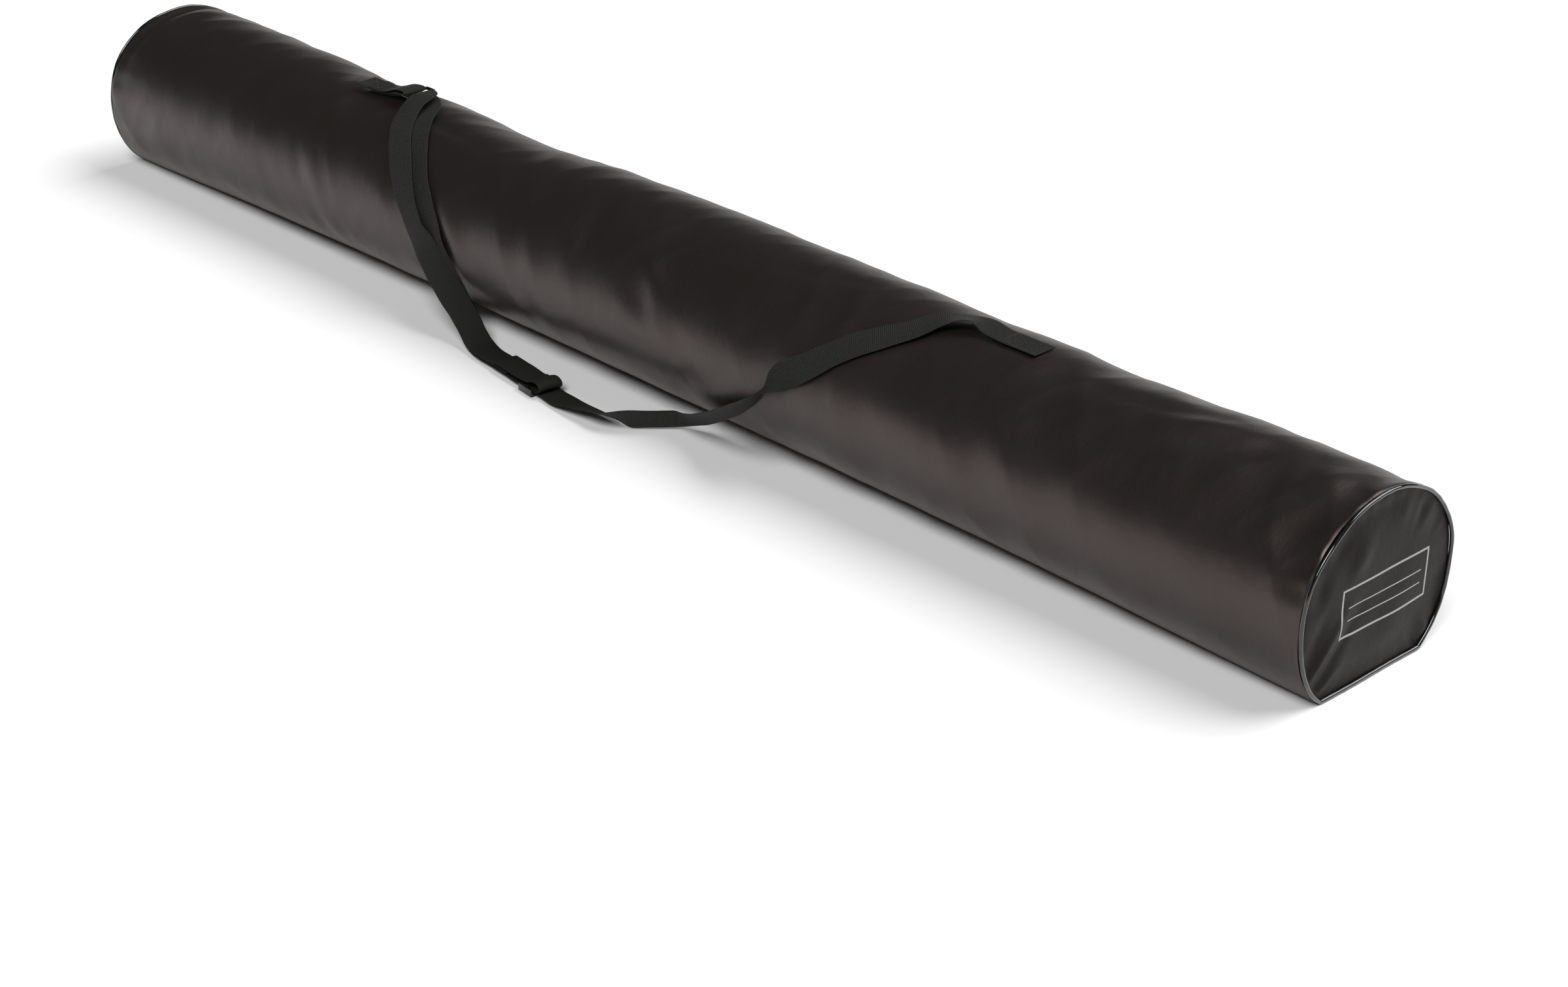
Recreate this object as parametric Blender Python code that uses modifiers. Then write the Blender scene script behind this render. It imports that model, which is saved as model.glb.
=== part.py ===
"""A long, soft carry bag for rolled drawings and screens, as separate sub-parts.

The bag is a sewn tube of woven nylon that lies along X, with a flat panel sewn into each end, piping
round both end seams, a zip along its upper back and a webbing strap on top. Metres, +Z up. The origin
is under the middle of the bag, on the surface that it rests on. The strap's side is -Y.
"""

import math

import bmesh
import bpy
from mathutils import Matrix, Vector

# The tube's outline: an ellipse above its widest line, a fuller curve below it, cut flat by the floor.
LENGTH = 1.900
HALF_WIDTH = 0.1115
TOP = 0.188
WIDEST = 0.088
UPPER_POWER = 2.0
LOWER_POWER = 2.3
DROP_AT_ENDS = 0.108
DROP_IN_MIDDLE = 0.092
END_REACH = 0.29

# Cloth, webbing and the gap that is left between neighbours.
FABRIC = 0.0015
GAP = 0.0003
AROUND = 40
WEB_WIDTH = 0.030
WEB = 0.0014

# End seams.
PIPING_RADIUS = 0.0025
PIPING_DEPTH = 0.0026
SEAM_X = LENGTH / 2 - PIPING_RADIUS
BINDING = 0.0012
BINDING_WIDTH = 0.0135

# Zip. Across is the distance round the tube from the zip's middle, out is the height over its surface.
ZIP_TURN = math.radians(62)
SLOT_HALF = 0.800
SLOT_ACROSS = 0.007
TAPE_HALF = 0.815
TAPE_INNER = 0.0022
TAPE_OUTER = 0.017
TAPE = 0.0008
COIL_HALF = 0.797
COIL_ACROSS = 0.0018
COIL_WIDTH = 0.0024
COIL_HEIGHT = 0.0015
SLIDER_X = 0.780
SLIDER_LENGTH = 0.012
SLIDER_WIDTH = 0.010
PULL_OUT = 0.0028
PULL_LENGTH = 0.030
STOP_X = 0.791
TAB_START = 0.796
TAB_LENGTH = 0.040
TAB_HALF_WIDTH = 0.016
TAB = 0.0010

# Strap anchors, ring and adjuster.
ANCHOR_INNER = 0.490
ANCHOR_OUTER = 0.545
ANCHOR_OUT = 0.0012
PATCH_TURN = math.radians(17)
RING_HEIGHT = 0.200
RING_INNER_X = -0.449
RING_OUTER_X = -0.433
RING_HALF_WIDTH = 0.018
RING_WIRE = 0.0020
ADJUSTER = Vector((-0.044, -0.152, 0.0))
ADJUSTER_HEADING = math.radians(-7)
MAIN_LEVEL = 0.0038
UPPER_LEVEL = 0.0073
RAIL_HALF = 0.013
RAIL_INNER = 0.0156
RAIL_OUTER = 0.0190

X = Vector((1, 0, 0))
UP = Vector((0, 0, 1))


def clear_scene():
    for old in list(bpy.data.objects):
        bpy.data.objects.remove(old, do_unlink=True)


def new_collection(name):
    made = bpy.data.collections.new(name)
    bpy.context.scene.collection.children.link(made)
    return made


def material(name, color, roughness, metallic=0.0):
    made = bpy.data.materials.new(name)
    made.use_nodes = True
    shader = made.node_tree.nodes["Principled BSDF"]
    shader.inputs["Base Color"].default_value = (*color, 1.0)
    shader.inputs["Roughness"].default_value = roughness
    shader.inputs["Metallic"].default_value = metallic
    return made


def add_object(name, data, look, collection=None):
    made = bpy.data.objects.new(name, data)
    (collection or BAG).objects.link(made)
    made.data.materials.append(look)
    return made


def mesh_object(name, points, faces, look, smooth=True):
    """An object from points and faces, with its faces turned outwards or left as an open sheet."""
    mesh = bpy.data.meshes.new(name)
    mesh.from_pydata([tuple(p) for p in points], [], faces)
    mesh.update()
    made = add_object(name, mesh, look)
    if smooth:
        mesh.shade_smooth()
        mesh.set_sharp_from_angle(angle=math.radians(40))
    return made


def solidify(obj, thickness):
    """Thickens a sheet inwards, away from the side that its faces point to."""
    shell = obj.modifiers.new("thickness", "SOLIDIFY")
    shell.thickness = thickness
    shell.offset = -1.0
    shell.use_even_offset = True


# ---------------------------------------------------------------- the tube's surface


def section_point(x, turn):
    """(y, z) of the outer surface at x. The turn is 0 at the top and grows towards +Y."""
    from_end = max(0.0, LENGTH / 2 - abs(x))
    fade = math.exp(-((from_end / END_REACH) ** 1.5))
    drop = DROP_IN_MIDDLE + (DROP_AT_ENDS - DROP_IN_MIDDLE) * fade
    across, up = math.sin(turn), math.cos(turn)
    rise, power = (TOP - WIDEST, UPPER_POWER) if up >= 0 else (drop, LOWER_POWER)
    y = HALF_WIDTH * math.copysign(abs(across) ** (2 / power), across)
    z = WIDEST + rise * math.copysign(abs(up) ** (2 / power), up)
    return y, max(z, 0.0)


def outward(x, turn):
    """The surface's normal, square to X."""
    step = 0.02
    y0, z0 = section_point(x, turn - step)
    y1, z1 = section_point(x, turn + step)
    return Vector((0, z0 - z1, y1 - y0)).normalized()


def skin_point(x, turn, out=0.0):
    y, z = section_point(x, turn)
    return Vector((x, y, z)) + out * outward(x, turn)


def turn_per_metre(turn):
    """How far the turn goes for each metre round the tube, on its upper half."""
    step = 0.01
    return 2 * step / (skin_point(0, turn + step) - skin_point(0, turn - step)).length


def skin_sheet(name, stations, turns, out, thickness, look, closed=False, filled=None):
    """A sheet that follows the surface at a height over it, thickened inwards. filled says which cells exist."""
    points = [skin_point(x, turn, out) for x in stations for turn in turns]
    row = len(turns)
    faces = []
    for i in range(len(stations) - 1):
        for j in range(row if closed else row - 1):
            if filled and not filled(i, j):
                continue
            a, b = i * row + j, i * row + (j + 1) % row
            faces.append((a, a + row, b + row, b))
    made = mesh_object(name, points, faces, look)
    solidify(made, thickness)
    return made


def spread(first, last, count):
    return [first + (last - first) * k / count for k in range(count + 1)]


def all_round():
    """The turns of the wrap's lengthwise lines. The zip's slot is between the last and the first."""
    half_slot = SLOT_ACROSS * turn_per_metre(ZIP_TURN)
    return spread(ZIP_TURN + half_slot, ZIP_TURN + 2 * math.pi - half_slot, AROUND)


def body_panel():
    """The long wrap: closed all round near the ends, open along the zip between them."""
    edge = SEAM_X - PIPING_RADIUS - GAP
    half = [0.0, 0.15, 0.30, 0.42, 0.52, 0.60, 0.67, 0.74, SLOT_HALF, 0.86, 0.91, edge]
    stations = [-x for x in reversed(half[1:])] + half

    def filled(i, j):
        in_slot = abs(stations[i] + stations[i + 1]) / 2 < SLOT_HALF
        return not (in_slot and j == AROUND)

    skin_sheet("body_panel", stations, all_round(), 0.0, FABRIC, NYLON, True, filled)


def end_panel(name, side):
    """The flat panel inside the piping. side is 1 at the near end and -1 at the far end."""
    inset = PIPING_DEPTH + PIPING_RADIUS + 3 * GAP
    points = [skin_point(side * SEAM_X, turn, -inset) for turn in all_round()]
    loop = list(range(len(points)))
    made = mesh_object(name, points, [loop[::-1] if side > 0 else loop], NYLON, False)
    solidify(made, FABRIC)


def tube_along(name, points, radius, cyclic, look):
    """A round bar along points, with filled ends where it is open."""
    curve = bpy.data.curves.new(name, "CURVE")
    curve.dimensions = "3D"
    curve.bevel_depth = radius
    curve.bevel_resolution = 2
    curve.use_fill_caps = not cyclic
    line = curve.splines.new("POLY")
    line.points.add(len(points) - 1)
    for spot, point in zip(line.points, points):
        spot.co = (*point, 1.0)
    line.use_cyclic_u = cyclic
    return add_object(name, curve, look)


def piping(name, side):
    points = [skin_point(side * SEAM_X, turn, -PIPING_DEPTH) for turn in all_round()]
    tube_along(name, points, PIPING_RADIUS, True, VINYL)


def seam_binding(name, side):
    """Tape over the raw edges inside the end seam."""
    outer = side * (SEAM_X - PIPING_RADIUS - 4 * GAP)
    stations = sorted([outer, outer - side * BINDING_WIDTH])
    skin_sheet(name, stations, all_round(), -FABRIC - 2 * GAP, BINDING, TAPE_CLOTH, True)


# ---------------------------------------------------------------- the zip


def zip_frame():
    """A frame on the zip's line: X along the bag, Y round the tube, Z out of it."""
    out = outward(0, ZIP_TURN)
    frame = Matrix((X, out.cross(X), out)).transposed().to_4x4()
    frame.translation = skin_point(0, ZIP_TURN)
    return frame


def box(name, low, high, frame, look, bevel=0.0, collection=None):
    """A block between two corners of a frame."""
    low, high = Vector(low), Vector(high)
    grid = bmesh.new()
    bmesh.ops.create_cube(grid, size=1.0)
    bmesh.ops.scale(grid, vec=high - low, verts=grid.verts)
    mesh = bpy.data.meshes.new(name)
    grid.to_mesh(mesh)
    grid.free()
    made = add_object(name, mesh, look, collection)
    made.matrix_world = frame @ Matrix.Translation((low + high) / 2)
    if bevel:
        rounded = made.modifiers.new("edges", "BEVEL")
        rounded.width = bevel
        rounded.segments = 1
    return made


def combine(base, others, operation="UNION"):
    """Joins or cuts with hidden helpers."""
    for other in others:
        other.hide_render = True
        other.display_type = "WIRE"
        step = base.modifiers.new(other.name, "BOOLEAN")
        step.operation = operation
        step.object = other


def zip_tape(name, side):
    scale = side * turn_per_metre(ZIP_TURN)
    turns = sorted(ZIP_TURN + scale * s for s in spread(TAPE_INNER, TAPE_OUTER, 3))
    skin_sheet(name, [-TAPE_HALF, TAPE_HALF], turns, -FABRIC - 2 * GAP, TAPE, TAPE_CLOTH)


def zip_coil(name, side):
    inner = side * COIL_ACROSS - COIL_WIDTH / 2
    low = (-COIL_HALF, inner, -COIL_HEIGHT)
    high = (COIL_HALF, inner + COIL_WIDTH, 0)
    box(name, low, high, ZIP, COIL, 0.0004)


def zip_slider():
    """Two plates round the coils, the blade that parts them, the flanges and the bail for the pull."""
    half, wide = SLIDER_LENGTH / 2, SLIDER_WIDTH / 2
    here = ZIP @ Matrix.Translation((SLIDER_X, 0, 0))
    slider = box("zip_slider", (-half, -wide, 0.0006), (half, wide, 0.0018), here, METAL)
    blade_top, plate_top, plate_low = 0.0012, -0.0032, -0.0042
    pieces = [
        ("lower_plate", (-half, -wide, plate_low), (half, wide, plate_top)),
        ("blade", (0.002, -0.0003, plate_top - 0.0004), (0.005, 0.0003, blade_top)),
        ("flange_upper", (-half, -wide + 0.0002, -0.0008), (half, -0.0040, 0.0010)),
        ("flange_lower", (-half, 0.0040, -0.0008), (half, wide - 0.0002, 0.0010)),
        ("bail_back", (-0.0037, -0.0008, 0.0014), (-0.0027, 0.0008, 0.0042)),
        ("bail_front", (0.0027, -0.0008, 0.0014), (0.0037, 0.0008, 0.0042)),
        ("bail_top", (-0.0041, -0.0010, 0.0038), (0.0041, 0.0010, 0.0047)),
    ]
    combine(slider, [box(n, low, high, here, METAL, 0, CUTTERS) for n, low, high in pieces])


def zip_pull():
    """A plate whose end bar passes under the bail. Its origin is on the bar's axis."""
    hinge = ZIP @ Matrix.Translation((SLIDER_X, 0, PULL_OUT))
    thick = 0.0005
    low, high = (-PULL_LENGTH, -0.0035, -thick), (thick, 0.0035, thick)
    pull = box("zip_pull", low, high, hinge, METAL)
    slot_low, slot_high = (-0.0060, -0.0016, -0.002), (-thick, 0.0016, 0.002)
    grip_low, grip_high = (-0.0270, -0.0014, -0.002), (-0.0190, 0.0014, 0.002)
    holes = [
        box("pull_slot", slot_low, slot_high, hinge, METAL, 0, CUTTERS),
        box("pull_grip_hole", grip_low, grip_high, hinge, METAL, 0, CUTTERS),
    ]
    combine(pull, holes, "DIFFERENCE")


def zip_stops():
    for name, side in (("zip_top_stop_upper", -1), ("zip_top_stop_lower", 1)):
        middle = side * COIL_ACROSS
        low = (STOP_X - 0.002, middle - 0.0014, GAP)
        high = (STOP_X + 0.002, middle + 0.0014, GAP + 0.0012)
        box(name, low, high, ZIP, METAL, 0.0003)
    low, high = (-STOP_X - 0.002, -0.0038, GAP), (-STOP_X + 0.002, 0.0038, GAP + 0.0013)
    box("zip_bottom_stop", low, high, ZIP, METAL, 0.0003)


def zip_end_tab(name, side):
    """A cloth tab over the zip's end, outside the wrap."""
    scale = turn_per_metre(ZIP_TURN)
    turns = [ZIP_TURN + scale * s for s in spread(-TAB_HALF_WIDTH, TAB_HALF_WIDTH, 4)]
    stations = sorted([side * TAB_START, side * (TAB_START + TAB_LENGTH)])
    skin_sheet(name, stations, turns, GAP + TAB, TAB, NYLON)


# ---------------------------------------------------------------- webbing


def smooth_path(stations, steps=4):
    """A smooth curve through (point, normal) stations, read at even steps between each two."""
    ends = [stations[0]] + stations + [stations[-1]]
    path = []
    for k in range(1, len(ends) - 2):
        before, start, stop, after = ends[k - 1 : k + 3]
        for step in range(steps):
            t = step / steps
            path.append(tuple(curve_through(before[i], start[i], stop[i], after[i], t) for i in (0, 1)))
    path.append(stations[-1])
    return path


def curve_through(before, start, stop, after, t):
    """Catmull-Rom between start and stop."""
    bend = 2 * before - 5 * start + 4 * stop - after
    twist = 3 * start - before - 3 * stop + after
    return start + 0.5 * t * ((stop - before) + t * (bend + t * twist))


def webbing(name, path, width=WEB_WIDTH, thickness=WEB):
    """A closed flat strip along (centre, normal) pairs."""
    points = []
    last = len(path) - 1
    for k, (centre, normal) in enumerate(path):
        along = (path[min(k + 1, last)][0] - path[max(k - 1, 0)][0]).normalized()
        side = normal.cross(along).normalized() * width / 2
        up = along.cross(side).normalized() * thickness / 2
        points += [centre - side - up, centre + side - up, centre + side + up, centre - side + up]
    faces = [(0, 3, 2, 1), tuple(4 * last + i for i in range(4))]
    for k in range(last):
        a = 4 * k
        for i in range(4):
            j = (i + 1) % 4
            faces.append((a + i, a + j, a + j + 4, a + i + 4))
    made = mesh_object(name, points, faces, WEBBING)
    turned = bmesh.new()
    turned.from_mesh(made.data)
    bmesh.ops.recalc_face_normals(turned, faces=turned.faces)
    turned.to_mesh(made.data)
    turned.free()
    return made


def on_bag(x, degrees, out, facing=1):
    """A station that lies on the bag, its face turned outwards (1) or inwards (-1)."""
    turn = math.radians(degrees)
    return skin_point(x, turn, out), facing * outward(x, turn)


def free(x, y, z, nx, ny, nz):
    """A station clear of the bag."""
    return Vector((x, y, z)), Vector((nx, ny, nz)).normalized()


def by_adjuster(along, z, facing=1):
    """A station on the straight stretch that the adjuster slides on."""
    return ADJUSTER_FRAME @ Vector((along, 0, z)), facing * UP


def round_ring_bar():
    """The half turn of webbing round the ring's outer bar, from below to above."""
    radius = RING_WIRE + WEB / 2 + 0.0006
    bar = Vector((RING_OUTER_X, 0, RING_HEIGHT))
    for degrees in range(-90, -271, -45):
        away = Vector((math.cos(math.radians(degrees)), 0, math.sin(math.radians(degrees))))
        yield bar + radius * away, -away


def strap_webbing():
    """One run: from the sewn end over the bag and the floor, through the adjuster, up to the ring,
    round its bar and back on top of itself."""
    single = [
        free(0.4865, 0.000, 0.1896, 0, 0, 1),
        free(0.4740, 0.001, 0.1912, -0.1, 0, 1),
        free(0.4620, 0.000, 0.1942, -0.25, 0.05, 0.97),
        free(0.4500, -0.005, 0.1958, -0.25, 0.1, 0.96),
        free(0.4380, -0.014, 0.1950, -0.15, 0.05, 0.98),
        free(0.4260, -0.027, 0.1915, -0.1, -0.2, 0.97),
        on_bag(0.411, -24, 0.004),
        on_bag(0.388, -34.5, 0.003),
        on_bag(0.363, -45, 0.003),
        on_bag(0.340, -56, 0.003),
        on_bag(0.317, -67, 0.004),
        on_bag(0.296, -75, 0.006),
        free(0.2785, -0.1285, 0.0974, -0.653, -0.146, 0.742),
        free(0.2549, -0.1275, 0.0768, -0.66, 0.30, 0.69),
        free(0.2250, -0.1230, 0.0553, -0.64, 0.52, 0.56),
        free(0.1918, -0.1160, 0.0357, -0.635, 0.59, 0.50),
        free(0.1660, -0.1115, 0.0230, -0.638, 0.604, 0.475),
        free(0.1442, -0.1125, 0.0165, -0.638, 0.604, 0.475),
        free(0.1281, -0.1260, 0.0150, -0.638, 0.604, 0.475),
        free(0.1140, -0.1406, 0.0147, -0.638, 0.604, 0.475),
        free(0.1000, -0.1525, 0.0142, -0.62, 0.60, 0.50),
        free(0.0818, -0.1586, 0.0128, -0.5, 0.45, 0.74),
        free(0.0644, -0.1590, 0.0110, -0.35, 0.4, 0.85),
        free(0.0452, -0.1585, 0.0085, -0.2, 0.3, 0.93),
        free(0.0272, -0.1582, 0.0062, -0.1, 0.2, 0.97),
    ]
    straight = [by_adjuster(s, MAIN_LEVEL) for s in (0.045, 0.02, -0.02, -0.06, -0.105)]
    under = [
        free(-0.1720, -0.1330, 0.0065, 0.2, -0.2, 0.96),
        free(-0.2030, -0.1260, 0.0250, 0.4, -0.45, 0.8),
        free(-0.2380, -0.1210, 0.0540, 0.3, -0.75, 0.6),
        on_bag(-0.262, -91, 0.004),
        on_bag(-0.280, -79, 0.002),
        on_bag(-0.303, -66, 0.002),
        on_bag(-0.328, -53, 0.002),
        on_bag(-0.360, -36, 0.002),
        on_bag(-0.388, -20, 0.003),
        free(-0.4060, -0.014, 0.1930, 0, -0.1, 1),
        free(-0.4200, -0.003, 0.1960, 0, 0, 1),
    ]
    over = [
        free(-0.4230, -0.002, 0.2040, 0, 0, -1),
        free(-0.4140, -0.012, 0.2040, 0, 0.1, -1),
        free(-0.4110, -0.027, 0.1990, 0, 0.4, -0.9),
        on_bag(-0.408, -24, 0.0065, -1),
        on_bag(-0.390, -35, 0.006, -1),
        on_bag(-0.368, -46, 0.006, -1),
        on_bag(-0.334, -65, 0.006, -1),
        on_bag(-0.303, -83, 0.006, -1),
        free(-0.2740, -0.1230, 0.0850, -0.3, 0.85, -0.4),
        free(-0.2420, -0.1262, 0.0600, -0.4, 0.6, -0.7),
        free(-0.2040, -0.1280, 0.0310, -0.4, 0.45, -0.8),
        free(-0.1720, -0.1345, 0.0110, -0.2, 0.2, -0.96),
    ]
    overlap = [by_adjuster(s, UPPER_LEVEL, -1) for s in (-0.105, -0.075, -0.045)]
    return webbing("strap_webbing", smooth_path(single + straight + under + list(round_ring_bar()) + over + overlap))


def adjuster_loop():
    """The strap's folded end: a tail over the upper run and a loop round the centre bar."""
    points = [
        (-0.070, 0.0105),
        (-0.040, 0.0105),
        (-0.006, 0.0107),
        (0.008, 0.0160),
        (0.019, 0.0165),
        (0.0245, 0.0115),
        (0.019, 0.0066),
        (0.008, 0.0058),
        (-0.010, 0.0056),
    ]
    stations = []
    for k, (along, z) in enumerate(points):
        before, after = points[max(k - 1, 0)], points[min(k + 1, len(points) - 1)]
        rise = Vector((before[1] - after[1], 0, after[0] - before[0])).normalized()
        stations.append((ADJUSTER_FRAME @ Vector((along, 0, z)), ADJUSTER_FRAME.to_3x3() @ rise))
    webbing("adjuster_loop", smooth_path(stations))


def strap_adjuster():
    """A moulded frame: two side rails, two outer bars under the strap and a raised centre bar."""
    top, low = 0.0091, GAP
    rail = (-RAIL_HALF, RAIL_INNER, low), (RAIL_HALF, RAIL_OUTER, top)
    adjuster = box("strap_adjuster", *rail, ADJUSTER_FRAME, PLASTIC)
    pieces = [
        ("other_rail", (-RAIL_HALF, -RAIL_OUTER, low), (RAIL_HALF, -RAIL_INNER, top)),
        ("outer_bar_left", (-RAIL_HALF, -RAIL_INNER - 0.001, low), (-0.010, RAIL_INNER + 0.001, 0.0027)),
        ("outer_bar_right", (0.010, -RAIL_INNER - 0.001, low), (RAIL_HALF, RAIL_INNER + 0.001, 0.0027)),
        ("centre_bar", (-0.0016, -RAIL_INNER - 0.001, 0.0067), (0.0016, RAIL_INNER + 0.001, top)),
    ]
    combine(adjuster, [box(n, lo, hi, ADJUSTER_FRAME, PLASTIC, 0, CUTTERS) for n, lo, hi in pieces])


def anchor_ring():
    """A rectangular ring: the anchor's webbing holds the inner bar and the strap the outer one."""
    middle = (RING_INNER_X + RING_OUTER_X) / 2
    half = (RING_OUTER_X - RING_INNER_X) / 2
    corner = 0.003
    points = []
    for side_x, side_y, first in ((1, 1, 0), (-1, 1, 90), (-1, -1, 180), (1, -1, 270)):
        for degrees in (first, first + 45, first + 90):
            turn = math.radians(degrees)
            x = middle + side_x * (half - corner) + corner * math.cos(turn)
            y = side_y * (RING_HALF_WIDTH - corner) + corner * math.sin(turn)
            points.append((x, y, RING_HEIGHT))
    tube_along("anchor_ring", points, RING_WIRE, True, PLASTIC)


def sewn_ends():
    """The flat webbing ends that are stitched down on top of the bag."""
    flat = TOP + ANCHOR_OUT
    near = [(ANCHOR_OUTER, flat), ((ANCHOR_OUTER + ANCHOR_INNER) / 2, flat), (ANCHOR_INNER, flat)]
    far = [(-ANCHOR_OUTER, flat), (-ANCHOR_INNER, flat), (-0.480, flat + 0.003), (-0.470, 0.197)]
    for name, line in (("strap_sewn_end", near), ("far_anchor_tab", far)):
        webbing(name, [(Vector((x, 0, z)), UP) for x, z in line])


def far_anchor_loop():
    """The far anchor's webbing where it turns round the ring's inner bar."""
    radius = RING_WIRE + WEB / 2 + 0.0004
    path = [(Vector((-0.466, 0, RING_HEIGHT - radius)), UP)]
    for degrees in range(-90, 91, 30):
        away = Vector((math.cos(math.radians(degrees)), 0, math.sin(math.radians(degrees))))
        path.append((Vector((RING_INNER_X, 0, RING_HEIGHT)) + radius * away, -away))
    path.append((Vector((-0.466, 0, RING_HEIGHT + radius)), -UP))
    webbing("far_anchor_loop", path)


def reinforcement(name, side):
    """A patch inside the wrap that takes an anchor's load."""
    turns = [turn for turn in all_round() if abs(turn - 2 * math.pi) < PATCH_TURN]
    stations = sorted([side * (ANCHOR_INNER - 0.02), side * (ANCHOR_OUTER + 0.015)])
    skin_sheet(name, stations, turns, -FABRIC - GAP, BINDING, NYLON)


# ---------------------------------------------------------------- build

clear_scene()
BAG = new_collection("tube_bag")
CUTTERS = new_collection("cutters")
NYLON = material("black_nylon", (0.016, 0.014, 0.013), 0.65)
VINYL = material("piping_vinyl", (0.012, 0.012, 0.012), 0.18)
TAPE_CLOTH = material("zip_tape_cloth", (0.012, 0.012, 0.012), 0.8)
COIL = material("zip_coil_nylon", (0.014, 0.014, 0.014), 0.4)
METAL = material("slider_enamel", (0.020, 0.020, 0.020), 0.3, 0.5)
WEBBING = material("strap_webbing_cloth", (0.020, 0.020, 0.019), 0.75)
PLASTIC = material("hardware_plastic", (0.015, 0.015, 0.015), 0.25)
ZIP = zip_frame()
ADJUSTER_FRAME = Matrix.Translation(ADJUSTER) @ Matrix.Rotation(ADJUSTER_HEADING, 4, "Z")

body_panel()
for end, side in (("near", 1), ("far", -1)):
    end_panel(f"{end}_end_panel", side)
    piping(f"{end}_piping", side)
    seam_binding(f"{end}_seam_binding", side)
    zip_end_tab(f"zip_end_tab_{end}", side)
    reinforcement(f"{end}_anchor_patch", side)
for place, side in (("upper", -1), ("lower", 1)):
    zip_tape(f"zip_tape_{place}", side)
    zip_coil(f"zip_coil_{place}", side)
zip_slider()
zip_pull()
zip_stops()
sewn_ends()
far_anchor_loop()
anchor_ring()
strap_webbing()
strap_adjuster()
adjuster_loop()
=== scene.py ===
"""Looks for the soft tube bag: woven wrap, end panels, piping, zip, webbing strap and hardware.

Metres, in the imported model's frame: X runs along the bag, -Y is the strap's side, +Z is up.
"""

import math

import bmesh
import bpy
import numpy as np
from mathutils import Matrix, Vector, noise


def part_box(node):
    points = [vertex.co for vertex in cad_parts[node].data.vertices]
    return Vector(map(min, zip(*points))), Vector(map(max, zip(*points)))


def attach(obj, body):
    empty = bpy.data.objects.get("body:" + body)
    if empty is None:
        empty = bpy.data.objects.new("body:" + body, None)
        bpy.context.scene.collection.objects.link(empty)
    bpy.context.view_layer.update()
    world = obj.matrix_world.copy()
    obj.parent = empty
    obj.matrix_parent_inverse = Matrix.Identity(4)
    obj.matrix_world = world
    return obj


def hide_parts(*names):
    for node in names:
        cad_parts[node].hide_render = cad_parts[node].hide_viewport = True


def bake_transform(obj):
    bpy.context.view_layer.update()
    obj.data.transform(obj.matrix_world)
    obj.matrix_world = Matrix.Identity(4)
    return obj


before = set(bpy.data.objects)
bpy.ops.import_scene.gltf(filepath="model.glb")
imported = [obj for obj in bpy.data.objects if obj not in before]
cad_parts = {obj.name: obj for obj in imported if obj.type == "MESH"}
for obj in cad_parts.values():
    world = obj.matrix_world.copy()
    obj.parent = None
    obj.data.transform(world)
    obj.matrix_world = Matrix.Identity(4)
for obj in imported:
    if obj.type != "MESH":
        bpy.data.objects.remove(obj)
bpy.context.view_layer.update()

# The tube's outline and parts, as in the CAD model.
LENGTH = 1.900
HALF_WIDTH = 0.1115
TOP = 0.188
WIDEST = 0.088
LOWER_POWER = 2.3
DROP_AT_ENDS = 0.108
DROP_IN_MIDDLE = 0.092
END_REACH = 0.29
PIPING_RADIUS = 0.0025
PIPING_DEPTH = 0.0026
CORD_RADIUS = 0.0021
SEAM_X = LENGTH / 2 - PIPING_RADIUS
ZIP_TURN = math.radians(62)
SLOT_HALF = 0.800
SLIDER_X = 0.780
PULL_OUT = 0.0028
WEB_WIDTH = 0.030
WEB = 0.0014
RING_HEIGHT = 0.200
RING_INNER_X = -0.449
RING_OUTER_X = -0.433
RING_WIRE = 0.0020
ADJUSTER = Vector((-0.044, -0.152, 0.0))
ADJUSTER_HEADING = math.radians(-7)

# Looks: the oxford weave, the end panels' cut and tint (darker as painted shade, and cooler), and
# the printed name panel.
OXFORD_PITCH = 0.0008
PANEL_BIAS = math.radians(-48)
# Painted shade on the end panels: their colour is multiplied darker, and cooler.
PANEL_SHADE_AND_TINT = (0.62, 0.74, 0.82)
LABEL_Y, LABEL_Z, LABEL_HALF_WIDTH, LABEL_HALF_HEIGHT = 0.010, 0.082, 0.062, 0.024

X = Vector((1, 0, 0))
UP = Vector((0, 0, 1))


def unit(values):
    return values / np.linalg.norm(values, axis=-1, keepdims=True)


def distances(path):
    """How far each point of a path is along it."""
    return np.concatenate([[0], np.cumsum(np.linalg.norm(np.diff(path, axis=0), axis=1))])


def resample(where, along, values):
    """A path's values at new distances along it."""
    return np.stack([np.interp(where, along, values[:, k]) for k in range(3)], -1)


# ---------------------------------------------------------------- the tube's surface


def section(x, turn):
    """y and z of the smooth surface, for arrays. The turn is 0 at the top and grows towards +Y."""
    from_end = np.maximum(0.0, LENGTH / 2 - np.abs(x))
    fade = np.exp(-((from_end / END_REACH) ** 1.5))
    drop = DROP_IN_MIDDLE + (DROP_AT_ENDS - DROP_IN_MIDDLE) * fade
    across, up = np.sin(turn), np.cos(turn)
    power = np.where(up >= 0, 1.0, 2 / LOWER_POWER)
    rise = np.where(up >= 0, TOP - WIDEST, drop)
    y = HALF_WIDTH * np.sign(across) * np.abs(across) ** power
    z = WIDEST + rise * np.sign(up) * np.abs(up) ** power
    return y, np.maximum(z, 0.0)


def surface(x, turn, out=0.0):
    """Points at a height over the smooth surface, and the surface's normals."""
    x, turn = np.broadcast_arrays(np.asarray(x, float), np.asarray(turn, float))
    y, z = section(x, turn)
    y0, z0 = section(x, turn - 0.02)
    y1, z1 = section(x, turn + 0.02)
    normal = unit(np.stack([np.zeros_like(x), z0 - z1, y1 - y0], -1))
    return np.stack([x, y, z], -1) + np.asarray(out)[..., None] * normal, normal


def skin_point(x, turn, out=0.0):
    return Vector(surface(x, turn, out)[0])


def outward(x, turn):
    return Vector(surface(x, turn)[1])


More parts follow.
